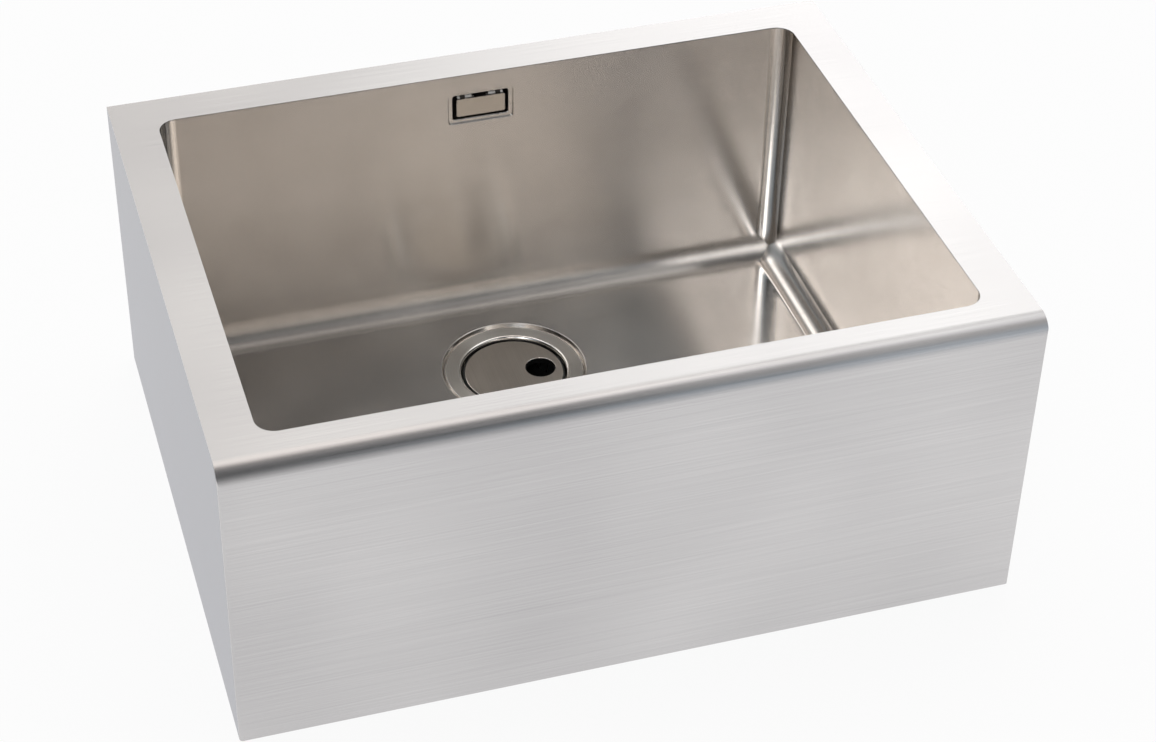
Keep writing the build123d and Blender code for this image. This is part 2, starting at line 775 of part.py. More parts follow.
pieces = {
    "deck_apron": deck_apron(),
    "side_panel_left": side_panel(-1),
    "side_panel_right": side_panel(1),
    "rear_panel": rear_panel(),
    "base_frame": base_frame(),
    "bowl": bowl(),
    "floor_pad_left": floor_pad(-1),
    "floor_pad_right": floor_pad(1),
    "side_pad_left": side_pad(-1),
    "side_pad_right": side_pad(1),
    "front_pad": front_pad(),
    "rear_pad_left": rear_pad(-1),
    "rear_pad_right": rear_pad(1),
    "strainer_body": strainer_body(),
    "flange_seal": flange_seal(),
    "under_gasket": under_gasket(),
    "waste_housing": waste_housing(),
    "waste_insert": waste_insert(),
    "waste_screw": waste_screw(),
    "basket": basket(),
    "basket_seal": basket_seal(),
    "cover_plate": cover_plate(),
    "cover_carrier": cover_carrier(),
    "overflow_housing": overflow_housing(),
    "overflow_gasket": overflow_gasket(),
    "overflow_studs": overflow_studs(),
    "overflow_nuts": overflow_nuts(),
    "overflow_cover": overflow_cover(),
    "overflow_clips": overflow_clips(),
    "overflow_pipe": overflow_pipe(),
    "pipe_nut_upper": at_upper(ring_nut()),
    "pipe_washer_upper": at_upper(pipe_washer()),
    "pipe_nut_lower": at_lower(ring_nut()),
    "pipe_washer_lower": at_lower(pipe_washer()),
}

for name, piece in pieces.items():
    shape = Compound(children=list(piece)) if isinstance(piece, list) else piece
    export_step(shape, f"parts/{name}.step")
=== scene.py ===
# Apron front kitchen sink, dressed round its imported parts.
# Metres: X to the sink's right, Y from the apron to the back, Z up from the base on which it stands.
import math

import bmesh
import bpy
from mathutils import Matrix, Vector


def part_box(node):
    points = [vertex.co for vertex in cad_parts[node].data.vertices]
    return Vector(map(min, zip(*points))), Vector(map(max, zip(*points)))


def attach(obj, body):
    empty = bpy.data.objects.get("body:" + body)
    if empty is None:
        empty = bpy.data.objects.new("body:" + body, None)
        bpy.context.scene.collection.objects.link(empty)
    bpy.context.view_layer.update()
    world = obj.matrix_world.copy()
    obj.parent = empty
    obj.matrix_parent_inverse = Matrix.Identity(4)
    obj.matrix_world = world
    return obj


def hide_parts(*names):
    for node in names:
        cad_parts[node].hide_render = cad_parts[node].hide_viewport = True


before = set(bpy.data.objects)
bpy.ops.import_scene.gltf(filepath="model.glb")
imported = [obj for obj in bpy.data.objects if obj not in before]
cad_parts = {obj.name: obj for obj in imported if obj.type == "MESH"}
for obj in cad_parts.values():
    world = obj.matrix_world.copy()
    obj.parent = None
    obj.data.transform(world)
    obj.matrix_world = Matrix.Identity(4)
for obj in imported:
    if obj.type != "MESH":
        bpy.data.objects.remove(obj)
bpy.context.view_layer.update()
mm = 0.001


# ---- camera ----
# The photograph was taken from above the front left corner through a long lens.
# The small shift is the photograph's crop.
view = bpy.data.cameras.new("camera")
view.sensor_width = 36
view.lens = 79.9
view.shift_x = 0.0806
view.shift_y = -0.0553
camera = bpy.data.objects.new("camera", view)
camera.location = (-0.4693, -1.5040, 1.3705)
camera.rotation_euler = [math.radians(turn) for turn in (52.479, 0.195, -15.648)]
bpy.context.scene.collection.objects.link(camera)
bpy.context.scene.camera = camera


# ---- deck and apron ----
# One sheet of 1.2 mm brushed stainless: the deck rolls over into the apron, whose upright edges turn
# back round the sides in short legs. The bowl's opening is cut in it.
def clear_selection():
    """Leaves nothing selected, as an operator acts on all that is."""
    bpy.ops.object.select_all(action="DESELECT")


def activate(piece):
    """Selects one piece alone and makes it the active one."""
    clear_selection()
    piece.select_set(True)
    bpy.context.view_layer.objects.active = piece


def block(name, low, high):
    """A block between two corners, with its place in its mesh."""
    clear_selection()
    size = Vector(high) - Vector(low)
    bpy.ops.mesh.primitive_cube_add(size=1, location=Vector(low) + size / 2)
    piece = bpy.context.object
    piece.name = name
    piece.scale = size
    bpy.ops.object.transform_apply(location=True, rotation=True, scale=True)
    return piece


def pick(piece, kind, test):
    """Opens a piece and selects those of its vertices, edges or faces that pass a test."""
    activate(piece)
    bpy.ops.object.mode_set(mode="EDIT")
    bpy.ops.mesh.select_mode(type=kind)
    bpy.ops.mesh.select_all(action="DESELECT")
    cage = bmesh.from_edit_mesh(piece.data)
    for part in {"VERT": cage.verts, "EDGE": cage.edges, "FACE": cage.faces}[kind]:
        part.select_set(test(part))
    bmesh.update_edit_mesh(piece.data)


def close_up(piece):
    """Closes a piece that was opened for editing."""
    bpy.ops.object.mode_set(mode="OBJECT")
    return piece


def along(axis, *limits):
    """A test for edges that run along an axis, with both ends inside limits of (axis, low, high)."""

    def test(edge):
        run = edge.verts[1].co - edge.verts[0].co
        if abs(run[axis]) < 0.999 * run.length:
            return False
        return all(low <= end.co[way] <= high for end in edge.verts for way, low, high in limits)

    return test


def round_edges(piece, test, radius, steps):
    """Rounds the edges that pass a test."""
    pick(piece, "EDGE", test)
    bpy.ops.mesh.bevel(offset=radius, segments=steps, affect="EDGES")
    return close_up(piece)


speck = 0.001 * mm  # points nearer than this are one


def combine(piece, tool, how):
    """Joins a piece to a tool, or cuts or crops it with the tool, and uses the tool up."""
    change = piece.modifiers.new("combine", "BOOLEAN")
    change.operation = how
    change.object = tool
    change.solver = "EXACT"
    activate(piece)
    bpy.ops.object.modifier_apply(modifier=change.name)
    bpy.data.objects.remove(tool)
    pick(piece, "FACE", lambda face: True)
    bpy.ops.mesh.remove_doubles(threshold=speck)
    bpy.ops.mesh.dissolve_degenerate(threshold=speck)
    return close_up(piece)


def break_edges(piece, width, steps=2):
    """Takes the sharpness off every edge of 40 degrees or more, as a grinder's pass does."""
    change = piece.modifiers.new("break_edges", "BEVEL")
    change.width = width
    change.segments = steps
    change.limit_method = "ANGLE"
    change.angle_limit = math.radians(40)
    change.use_clamp_overlap = True
    activate(piece)
    bpy.ops.object.modifier_apply(modifier=change.name)
    return piece


def shade(piece, angle=12):
    """Shades round stretches smooth and flat sheet flat, and keeps edges over the angle crisp."""
    activate(piece)
    bpy.ops.object.shade_smooth_by_angle(angle=math.radians(angle))
    weights = piece.modifiers.new("weights", "WEIGHTED_NORMAL")
    weights.keep_sharp = True
    bpy.ops.object.modifier_apply(modifier=weights.name)
    return piece


def linear(colour):
    """An sRGB hex colour as linear RGBA."""
    parts = [int(colour[place : place + 2], 16) / 255 for place in (1, 3, 5)]
    return [part / 12.92 if part < 0.04045 else ((part + 0.055) / 1.055) ** 2.4 for part in parts] + [1]


def add(tree, kind, sockets=None, **settings):
    """Adds a node with its settings, and puts a value or another node's output on each socket named."""
    node = tree.nodes.new("ShaderNode" + kind)
    for name, value in settings.items():
        setattr(node, name, value)
    for name, value in (sockets or {}).items():
        if isinstance(value, bpy.types.NodeSocket):
            tree.links.new(value, node.inputs[name])
        else:
            node.inputs[name].default_value = value
    return node


def new_material(name):
    """An empty node material, its tree and its Object coordinates."""
    material = bpy.data.materials.new(name)
    material.use_nodes = True
    tree = material.node_tree
    tree.nodes.clear()
    return material, tree, add(tree, "TexCoord").outputs["Object"]


def turned_tangent(tree, axis):
    """The tangent that lies across a grain which runs along an axis or another direction."""
    normal = add(tree, "NewGeometry").outputs["Normal"]
    across = add(tree, "VectorMath", {0: normal, 1: axis}, operation="CROSS_PRODUCT")
    return across.outputs["Vector"]


# Stainless steel, brushed with an abrasive belt. The lines smear a reflection across the grain and
# leave it sharper along it. Real grit lines are about 0.1 mm apart. They are drawn three times as
# coarse here, so that they show.
grain_width = 0.3 * mm
grain_length = 150 * mm
grain_relief = 0.03
rough_swing = 0.02  # by which the roughness varies over the lines
sum_low, sum_high = 0.7, 1.3  # between which nearly all of two noises' sum lies


def brushed(name, light, dark, pattern, tangent, rough=0.21, smear=0.93, smudge=70 * mm):
    """Brushed stainless: pattern gives grain coordinates in metres, along X and across Y and Z.

    The grain and a broad haze, a smudge wide, vary the steel's tone and its roughness together.
    """
    material, tree, place = new_material(name)
    lines = pattern(tree, place)
    scale = (1 / grain_length, 1 / grain_width, 1 / grain_width)
    stretched = add(tree, "VectorMath", {0: lines, 1: scale}, operation="MULTIPLY").outputs["Vector"]
    strokes = {"Vector": stretched, "Scale": 1, "Detail": 4, "Roughness": 0.65}
    grain = add(tree, "TexNoise", strokes).outputs["Fac"]
    haze = add(tree, "TexNoise", {"Vector": place, "Scale": 1 / smudge, "Detail": 2}).outputs["Fac"]
    both = add(tree, "Math", {0: grain, 1: haze}, operation="ADD").outputs["Value"]
    span = {"Value": both, 1: sum_low, 2: sum_high}
    share = add(tree, "MapRange", span).outputs["Result"]
    tone = add(tree, "Mix", {0: share, 6: linear(dark), 7: linear(light)}, data_type="RGBA").outputs[2]
    gloss = add(tree, "MapRange", {**span, 3: rough - rough_swing, 4: rough + rough_swing})
    bump = add(tree, "Bump", {"Height": grain, "Strength": grain_relief, "Distance": grain_width / 4})
    shader = add(
        tree,
        "BsdfPrincipled",
        {
            "Base Color": tone,
            "Metallic": 1,
            "Roughness": gloss.outputs["Result"],
            "Anisotropic": smear,
            "Tangent": tangent(tree, place),
            "Normal": bump.outputs["Normal"],
        },
    )
    add(tree, "OutputMaterial", {"Surface": shader.outputs["BSDF"]})
    return material


def finish(piece, body, nodes, slot, *materials):
    """Gives a piece its materials and its body, and hides the nodes that it stands for. Its slot is not
    used.
    """
    for material in materials:
        piece.data.materials.append(material)
    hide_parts(*nodes)
    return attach(piece, body)


def grain_along_x(tree, place):
    """Grain coordinates of a sheet that is brushed along the sink's width."""
    return place


def across_x(tree, place):
    """The tangent across that grain, also round the roll."""
    return turned_tangent(tree, (1, 0, 0))


sheet = 1.2 * mm
roll_r = 15 * mm
edge_r = 2.5 * mm
return_leg = 4 * mm
corner_r = 15 * mm  # of the bowl, in plan
cut_edge = 0.4 * mm  # a cut sheet's broken edge
far = 1.0  # well beyond the sink's faces
bend_steps = 24
corner_steps = 25  # odd, so that no edge of an upright corner meets the floor's mitre line
sheet_smudge = 260 * mm  # so wide that flat sheet looks even

deck_low, deck_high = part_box("deck_apron")
deck_under = deck_high.z - sheet
apron_y = deck_low.y
back_y = deck_high.y
side_x = deck_high.x
bowl_low, bowl_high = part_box("bowl")
bowl_x = bowl_high.x - sheet
bowl_front = bowl_low.y + sheet
bowl_back = -bowl_front


def folded_block(name, inset, top):
    """The casing's block with the front roll and the upright bends, set in by a distance."""
    front = apron_y + inset
    side = side_x - inset
    rolled = block(name, (-far, front, -far), (far, far, top))
    round_edges(rolled, along(0, (2, top - mm, far), (1, -far, front + mm)), roll_r - inset, bend_steps)
    upright = block("upright", (-side, front, -far / 2), (side, far / 2, far / 2))
    round_edges(upright, along(2, (1, -far, front + mm)), edge_r - inset, bend_steps // 2)
    return combine(rolled, upright, "INTERSECT")


def bowl_block(name, grow, low, high):
    """The bowl's plan, grown by a distance, with round upright corners, between two heights."""
    piece = block(
        name, (-bowl_x - grow, bowl_front - grow, low), (bowl_x + grow, bowl_back + grow, high)
    )
    return round_edges(piece, along(2), corner_r + grow, corner_steps)


deck_apron = folded_block("deck_and_apron", 0, deck_high.z)
casing = block("casing", (-side_x, apron_y, deck_low.z), (side_x, back_y, deck_high.z))
combine(deck_apron, casing, "INTERSECT")
combine(deck_apron, folded_block("inside", sheet, deck_under), "DIFFERENCE")
behind_legs = block("behind_legs", (-far, apron_y + return_leg, -far), (far, far, deck_under))
round_edges(behind_legs, along(0, (2, 0, far), (1, -far, 0)), roll_r - sheet, bend_steps)
combine(deck_apron, behind_legs, "DIFFERENCE")
combine(deck_apron, bowl_block("opening", 0, 0, far), "DIFFERENCE")
break_edges(deck_apron, cut_edge)
shade(deck_apron)
deck_steel = brushed(
    "brushed_deck_steel", "#D8D6D6", "#BDBBBC", grain_along_x, across_x, 0.25, smudge=sheet_smudge
)
finish(deck_apron, "sink", ["deck_apron"], "brushed_deck", deck_steel)


# ---- side and rear panels ----
# Brushed stainless sheet, spot welded under the deck sheet and butted to the apron's returns.
# Their grain runs level, from front to back on the sides and across at the rear.
def grain_along_y(tree, place):
    """Grain coordinates of a sheet that is brushed from front to back."""
    x, y, z = add(tree, "SeparateXYZ", {"Vector": place}).outputs
    return add(tree, "CombineXYZ", {0: y, 1: x, 2: z}).outputs[0]


def across_y(tree, place):
    """The tangent across that grain."""
    return turned_tangent(tree, (0, 1, 0))


def smooth_copy(name, body, slot, material):
    """A merged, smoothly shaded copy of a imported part, which it replaces."""
    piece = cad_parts[name].copy()
    piece.data = piece.data.copy()
    piece.name = name + "_finished"
    bpy.context.scene.collection.objects.link(piece)
    piece.hide_render = False
    piece.hide_viewport = False
    piece.data.materials.clear()
    activate(piece)
    bpy.ops.object.mode_set(mode="EDIT")
    bpy.ops.mesh.select_all(action="SELECT")
    bpy.ops.mesh.remove_doubles(threshold=2 * speck)
    bpy.ops.mesh.tris_convert_to_quads(face_threshold=math.radians(2), shape_threshold=math.radians(30))
    close_up(piece)
    shade(piece, 30)
    return finish(piece, body, [name], slot, material)


# The same brushed sheet as the deck's, a little duller and cooler, as it is left from the mill's belt.
panel_tones = ("#BBBBC0", "#AFAFB4")
panel_steel = brushed(
    "brushed_panel_steel", *panel_tones, grain_along_y, across_y, 0.3, smudge=sheet_smudge
)
rear_steel = brushed(
    "brushed_rear_steel", *panel_tones, grain_along_x, across_x, 0.3, smudge=sheet_smudge
)
for side in ("left", "right"):
    smooth_copy(f"side_panel_{side}", "sink", "brushed_panel", panel_steel)
smooth_copy("rear_panel", "sink", "brushed_panel", rear_steel)


# ---- bowl ----
# Folded from one sheet and welded at its upright corners, which are ground and polished. The waste's
# seat is pressed in its floor, and the overflow's seat and port in its back wall.
floor_r = 20 * mm
pressing_r = 0.9 * mm
dish_r = 60.5 * mm
dish_depth = 3.8 * mm
dish_slope = 2.2 * mm
floor_hole_r = 46.2 * mm
overflow_drop = 31.8 * mm
press_w, press_h, press_depth, press_r = 54.5 * mm, 29 * mm, 1.5 * mm, 3 * mm
port_w, port_h, port_r, port_lip = 47 * mm, 22.7 * mm, 2 * mm, 4 * mm
flare_steps = 8
hair = 0.005 * mm  # by which a cut starts before the face that it flares from
overrun = mm  # by which a cut runs on past what it cuts

floor_z = bowl_low.z + sheet + dish_depth
dish_z = floor_z - dish_depth
overflow_z = deck_high.z - overflow_drop
press_face = bowl_back + press_depth
port_end = press_face + port_lip
strainer_low, strainer_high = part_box("strainer_body")
waste_at = (strainer_low + strainer_high) / 2
waste_at.z = 0


def turned(name, outline, rounds=(), centre=waste_at, steps=128):
    """A solid turned about an upright axis from its outline of (radius, height) points.

    Each round is a point's number, how far from the point it starts, and a count of steps.
    """
    clear_selection()
    bpy.ops.mesh.primitive_circle_add(vertices=len(outline), fill_type="NGON")
    piece = bpy.context.object
    piece.name = name
    places = [Vector((centre.x + radius, centre.y, height)) for radius, height in outline]
    for corner, where in zip(piece.data.vertices, places):
        corner.co = where
    for number, reach, count in rounds:
        where = places[number]
        pick(piece, "VERT", lambda corner: (corner.co - where).length < hair)
        bpy.ops.mesh.bevel(offset=reach, segments=count, affect="VERTICES")
        close_up(piece)
    pick(piece, "FACE", lambda face: True)
    bpy.ops.mesh.delete(type="ONLY_FACE")
    bpy.ops.mesh.select_all(action="SELECT")
    bpy.ops.mesh.spin(steps=steps, angle=2 * math.pi, center=centre, axis=(0, 0, 1))
    bpy.ops.mesh.select_all(action="SELECT")
    bpy.ops.mesh.remove_doubles(threshold=hair / 2)
    bpy.ops.mesh.dissolve_degenerate(threshold=hair / 2)
    bpy.ops.mesh.delete_loose()
    bpy.ops.mesh.select_all(action="SELECT")
    bpy.ops.mesh.normals_make_consistent(inside=False)
    return close_up(piece)


def rounding(radius, slope=90):
    """Vertex offset whose bevel gives a round of a radius between two lines that turn by an angle."""
    return radius * math.tan(math.radians(slope) / 2)


def inset_round(radius, flaring):
    """Insets the open face round a quarter circle, which flares from a face or ends on a floor."""
    for number in range(flare_steps):
        start, end = (math.radians(90 / flare_steps * (number + place)) for place in (0, 1))
        ways = (radius * (math.sin(end) - math.sin(start)), radius * (math.cos(start) - math.cos(end)))
        inward, deeper = ways if flaring else reversed(ways)
        bpy.ops.mesh.inset(thickness=inward, depth=deeper, use_even_offset=False)


def flared_cut(name, size_x, size_z, corner, y_front, depth, foot=0):
    """A cut into the back wall with a round mouth, and a round foot where it ends on a floor."""
    mouth = pressing_r
    wide = (size_x / 2 + mouth, size_z / 2 + mouth)
    low = (-wide[0], y_front - hair, overflow_z - wide[1])
    high = (wide[0], y_front, overflow_z + wide[1])
    piece = block(name, low, high)
    round_edges(piece, along(1), corner + mouth, bend_steps // 2)
    pick(piece, "FACE", lambda face: face.normal.y > 0.9)
    inset_round(mouth, flaring=True)
    bpy.ops.mesh.extrude_region_move(TRANSFORM_OT_translate={"value": (0, depth - mouth - foot, 0)})
    if foot:
        inset_round(foot, flaring=False)
    return close_up(piece)


def basin(name, grow, low, high):
    """The bowl's form, grown by a distance: three rounded blocks meet, so its floor corners mitre."""
    x, front, back = bowl_x + grow, bowl_front - grow, bowl_back + grow
    foot = (2, -far, low + hair)
    across = block(name, (-far, front, low), (far, back, high))
    round_edges(across, along(0, foot), floor_r + grow, bend_steps)
    lengthwise = block("lengthwise", (-x, -far, low), (x, far, high + overrun))
    round_edges(lengthwise, along(1, foot), floor_r + grow, bend_steps)
    combine(across, lengthwise, "INTERSECT")
    upright = bowl_block("upright", grow, low - overrun, high + 2 * overrun)
    return combine(across, upright, "INTERSECT")


def wall_block(name, size_x, size_z, corner, y_front, y_back):
    """A rounded block through the back wall, centred on the overflow."""
    low = (-size_x / 2, y_front, overflow_z - size_z / 2)
    high = (size_x / 2, y_back, overflow_z + size_z / 2)
    return round_edges(block(name, low, high), along(1), corner, bend_steps // 2)


lean = math.degrees(math.atan2(dish_depth, dish_slope))  # of the seat's wall, from the floor
seat_foot_r = 0.6 * mm
press_foot_r = 0.5 * mm
bowl = basin("bowl_shell", sheet, floor_z - sheet, deck_under)
seat_outside = [
    (0, dish_z + sheet),
    (dish_r + sheet, floor_z - sheet / 2),
    (dish_r + sheet, floor_z - sheet),
    (dish_r + sheet - dish_slope, dish_z - sheet),
    (0, dish_z - sheet),
]
combine(bowl, turned("seat_outside", seat_outside, [(3, rounding(2 * sheet, lean), 6)]), "UNION")
press_back = press_face + sheet
grown = 2 * sheet
behind_press = wall_block(
    "behind_press", press_w + grown, press_h + grown, press_r + sheet, bowl_back + sheet / 2, press_back
)
combine(bowl, behind_press, "UNION")
behind_port = wall_block(
    "behind_port", port_w + grown, port_h + grown, port_r + sheet, press_face, port_end
)
combine(bowl, behind_port, "UNION")
combine(bowl, basin("inside", 0, floor_z, deck_high.z), "DIFFERENCE")
seat = [
    (0, floor_z + 2 * hair),
    (dish_r + 4 * pressing_r, floor_z + 2 * hair),
    (dish_r + 4 * pressing_r, floor_z + hair),
    (dish_r, floor_z + hair),
    (dish_r - dish_slope, dish_z),
    (0, dish_z),
]
seat_rounds = [(3, rounding(pressing_r, lean), 6), (4, rounding(seat_foot_r, lean), 4)]
combine(bowl, turned("seat", seat, seat_rounds), "DIFFERENCE")
floor_hole = [
    (0, dish_z - 2 * sheet),
    (floor_hole_r, dish_z - 2 * sheet),
    (floor_hole_r, floor_z),
    (0, floor_z),
]
combine(bowl, turned("floor_hole", floor_hole), "DIFFERENCE")
pressing = flared_cut("pressing", press_w, press_h, press_r, bowl_back, press_depth, press_foot_r)
combine(bowl, pressing, "DIFFERENCE")
port = flared_cut("port", port_w, port_h, port_r, press_face, port_lip + overrun)
combine(bowl, port, "DIFFERENCE")
shade(bowl, 10)


def grain_of_wrap(tree, place):
    """Grain coordinates of the sheet that runs down one side, across the floor and up the other."""
    x, y, z = add(tree, "SeparateXYZ", {"Vector": place}).outputs
    outward = add(tree, "Math", {0: x}, operation="ABSOLUTE").outputs[0]
    run = add(tree, "Math", {0: outward, 1: z}, operation="ADD").outputs[0]
    return add(tree, "CombineXYZ", {0: run, 1: y}).outputs[0]


def across_wrap(tree, place):
    """The tangent across that grain: straight back, on walls, floor and the bends between them."""
    return add(tree, "CombineXYZ", {1: 1.0}).outputs[0]


def grain_of_corner(tree, place):
    """Grain coordinates of an upright corner, whose lines run level round it from wall to wall."""
    x, y, z = add(tree, "SeparateXYZ", {"Vector": place}).outputs
    outward = add(tree, "Math", {0: x}, operation="ABSOLUTE").outputs[0]
    forward = add(tree, "Math", {0: y}, operation="ABSOLUTE").outputs[0]
    run = add(tree, "Math", {0: outward, 1: forward}, operation="SUBTRACT").outputs[0]
    return add(tree, "CombineXYZ", {0: run, 1: z}).outputs[0]


def across_corner(tree, place):
    """The tangent across that grain: straight up."""
    return add(tree, "CombineXYZ", {2: 1.0}).outputs[0]


# The bowl's sheet is brushed finer than the deck's. Its corner welds are dressed with a polishing wheel
# and its bends are burnished by the press, so both of these mirror the room more sharply.
bowl_tones = ("#EBE6E1", "#DAD5D0")
wrap_steel = brushed("brushed_bowl_steel", *bowl_tones, grain_of_wrap, across_wrap, 0.16)
end_steel = brushed("brushed_end_wall_steel", *bowl_tones, grain_along_x, across_x, 0.25)
corner_steel = brushed(
    "polished_corner_steel", *bowl_tones, grain_of_corner, across_corner, 0.13, smear=0.85
)
bend_steel = brushed("burnished_bend_steel", *bowl_tones, grain_of_wrap, across_wrap, 0.13, smear=0.85)
finish(bowl, "sink", ["bowl"], "brushed_bowl", wrap_steel, end_steel, corner_steel, bend_steel)


def paint(piece, number, test):
    """Puts one of a piece's materials on the faces that pass a test."""
    for face in piece.data.polygons:
        if test(face):
            face.material_index = number


def facing(level, *tilted):
    """A test for faces that run along one axis and face along the others."""

    def test(face):
        runs = abs(face.normal[level]) < 0.01
        return runs and all(abs(face.normal[axis]) > 0.03 for axis in tilted)

    return test


# The front and back walls, the upright corners, and the bends where the sides meet the floor.
paint(bowl, 1, facing(0, 1))
paint(bowl, 2, facing(2, 0, 1))
paint(bowl, 3, facing(1, 0, 2))


# ---- strainer ----
# Flange, rolled lip and cup, drawn in one from 0.8 mm stainless. The flange is brushed round the axis,
# its rim and lip are polished, and drain slots are pierced in the cup's floor.
flange_t = 0.8 * mm
flange_lip = 1.4 * mm
flange_r = strainer_high.x - waste_at.x
flange_top = strainer_high.z
rim_under = flange_top - flange_t
cup_r = 44 * mm
cup_outer = cup_r + flange_t
cup_under = strainer_low.z
cup_z = cup_under + flange_t
cup_lip_r = 3 * mm
cup_floor_r = 5 * mm
flange_round_r = 0.75 * mm
flange_break = 0.2 * mm
screw_hole_r = 3.3 * mm
drain_count, drain_in, drain_out, drain_w = 8, 12 * mm, 31 * mm, 7 * mm
drain_end_r = 0.499 * drain_w  # a hair under half, so that the round ends don't meet
cup_outline = [
    (screw_hole_r, cup_z),
    (cup_r, cup_z),
    (cup_r, flange_top),
    (flange_r, flange_top),
    (flange_r, flange_top - flange_lip),
    (flange_r - flange_t, flange_top - flange_lip),
    (flange_r - flange_t, rim_under),
    (cup_outer, rim_under),
    (cup_outer, cup_under),
    (screw_hole_r, cup_under),
]
cup_rounds = [
    (1, cup_floor_r - flange_t, 10),
    (2, cup_lip_r, 12),
    (3, flange_round_r, 6),
    (4, flange_break, 2),
    (5, flange_break, 2),
    (7, cup_lip_r - flange_t, 8),
    (8, cup_floor_r, 10),
]
strainer = turned("strainer", cup_outline, cup_rounds, steps=160)


def turn_about(piece, angle, centre=waste_at):
    """Turns a piece about an upright axis by an angle in degrees."""
    turn = Matrix.Rotation(math.radians(angle), 4, "Z")
    piece.data.transform(Matrix.Translation(centre) @ turn @ Matrix.Translation(-centre))
    return piece


for number in range(drain_count):
    low = waste_at + Vector((drain_in, -drain_w / 2, cup_under - overrun))
    high = waste_at + Vector((drain_out, drain_w / 2, cup_z + overrun))
    drain = round_edges(block("drain", low, high), along(2), drain_end_r, 12)
    combine(strainer, turn_about(drain, (number + 0.5) * 360 / drain_count), "DIFFERENCE")
shade(strainer, 15)


def about_waste(tree, place):
    """A place measured from the waste's axis."""
    centre = tuple(waste_at)
    return add(tree, "VectorMath", {0: place, 1: centre}, operation="SUBTRACT").outputs["Vector"]


def grain_round(tree, place):
    """Grain coordinates round the waste: fine across the radius and height, coarse along the turn."""
    x, y, z = add(tree, "SeparateXYZ", {"Vector": about_waste(tree, place)}).outputs
    flat = add(tree, "CombineXYZ", {0: x, 1: y}).outputs[0]
    radius = add(tree, "VectorMath", {0: flat}, operation="LENGTH").outputs["Value"]
    turn = add(tree, "Math", {0: y, 1: x}, operation="ARCTAN2").outputs[0]
    run = add(tree, "Math", {0: turn, 1: flange_r}, operation="MULTIPLY").outputs[0]
    return add(tree, "CombineXYZ", {0: run, 1: radius, 2: z}).outputs[0]


def across_round(tree, place):
    """The tangent across that grain."""
    apart = about_waste(tree, place)
    turn = add(tree, "VectorMath", {0: (0, 0, 1), 1: apart}, operation="CROSS_PRODUCT")
    return turned_tangent(tree, turn.outputs["Vector"])


def rounded_or_upright(face):
    """Whether a face is on a rim, a lip or a wall rather than on the flat."""
    return abs(face.normal.z) < 0.98


# The flange is spun against an abrasive, so its highlight fans out from the axis. Rim and lip are
# polished, which makes them the brightest lines in the bowl.
spun_steel = brushed("ring_brushed_steel", "#EAE6E0", "#CFCBC5", grain_round, across_round, 0.34)
lip_steel = brushed(
    "polished_lip_steel", "#F4F1EC", "#E9E5E0", grain_round, across_round, 0.12, smear=0.3
)
finish(strainer, "sink", ["strainer_body"], "spun_steel", spun_steel, lip_steel)
paint(strainer, 1, rounded_or_upright)


# ---- seals and gaskets ----
# Black nitrile rubber, cut or moulded flat: under the strainer's flange, under the seat, under the
# basket, behind the overflow's port and at both ends of its pipe. It is matte and slightly grainy.
noise_low, noise_high = 0.3, 0.7  # between which nearly all of one noise lies
mottling = 25 * mm


def moulded(name, light, dark, rough, speckle, relief):
    """A plain moulded or rubber surface: fine speckled relief, of a real size, and slight mottling."""
    material, tree, place = new_material(name)
    fine = add(tree, "TexNoise", {"Vector": place, "Scale": 1 / speckle, "Detail": 3}).outputs["Fac"]
    broad = add(tree, "TexNoise", {"Vector": place, "Scale": 1 / mottling, "Detail": 2}).outputs["Fac"]
    tone = add(tree, "Mix", {0: broad, 6: linear(dark), 7: linear(light)}, data_type="RGBA")
    span = {"Value": fine, 1: noise_low, 2: noise_high}
    gloss = add(tree, "MapRange", {**span, 3: rough - 0.06, 4: rough + 0.06})
    bump = add(tree, "Bump", {"Height": fine, "Strength": relief, "Distance": speckle / 4})
    shader = add(
        tree,
        "BsdfPrincipled",
        {
            "Base Color": tone.outputs[2],
            "Roughness": gloss.outputs["Result"],
            "Normal": bump.outputs["Normal"],
            "IOR": 1.5,
        },
    )
    add(tree, "OutputMaterial", {"Surface": shader.outputs["BSDF"]})
    return material


rubber = moulded("nitrile_rubber", "#2A2A2A", "#1D1D1D", 0.7, 0.5 * mm, 0.2)
for name in (
    "flange_seal",
    "under_gasket",
    "overflow_gasket",
    "pipe_washer_upper",
    "pipe_washer_lower",
):
    smooth_copy(name, "sink", "seal_rubber", rubber)
smooth_copy("basket_seal", "basket", "seal_rubber", rubber)


# ---- waste housing ----
# Moulded grey polypropylene: a funnel with a ribbed clamping rim, an outlet tail and a side inlet. Its
# boss holds a brass insert for the screw that pulls strainer and housing together.
# The mould's fine spark texture gives the plastic a soft sheen.
grey_plastic = moulded("grey_polypropylene", "#5E5E62", "#525256", 0.45, 0.4 * mm, 0.15)
smooth_copy("waste_housing", "sink", "moulded_grey", grey_plastic)
tool_mark = 0.8 * mm  # between the faint marks that turning and rolling leave


def plain_metal(name, light, dark, rough):
    """Turned or sprung metal, with fine marks of no one direction."""
    material, tree, place = new_material(name)
    marks = add(tree, "TexNoise", {"Vector": place, "Scale": 1 / tool_mark, "Detail": 4}).outputs["Fac"]
    tone = add(tree, "Mix", {0: marks, 6: linear(dark), 7: linear(light)}, data_type="RGBA")
    span = {"Value": marks, 1: noise_low, 2: noise_high}
    gloss = add(tree, "MapRange", {**span, 3: rough - 0.07, 4: rough + 0.07})
    shader = add(
        tree,
        "BsdfPrincipled",
        {"Base Color": tone.outputs[2], "Metallic": 1, "Roughness": gloss.outputs["Result"]},
    )
    add(tree, "OutputMaterial", {"Surface": shader.outputs["BSDF"]})
    return material


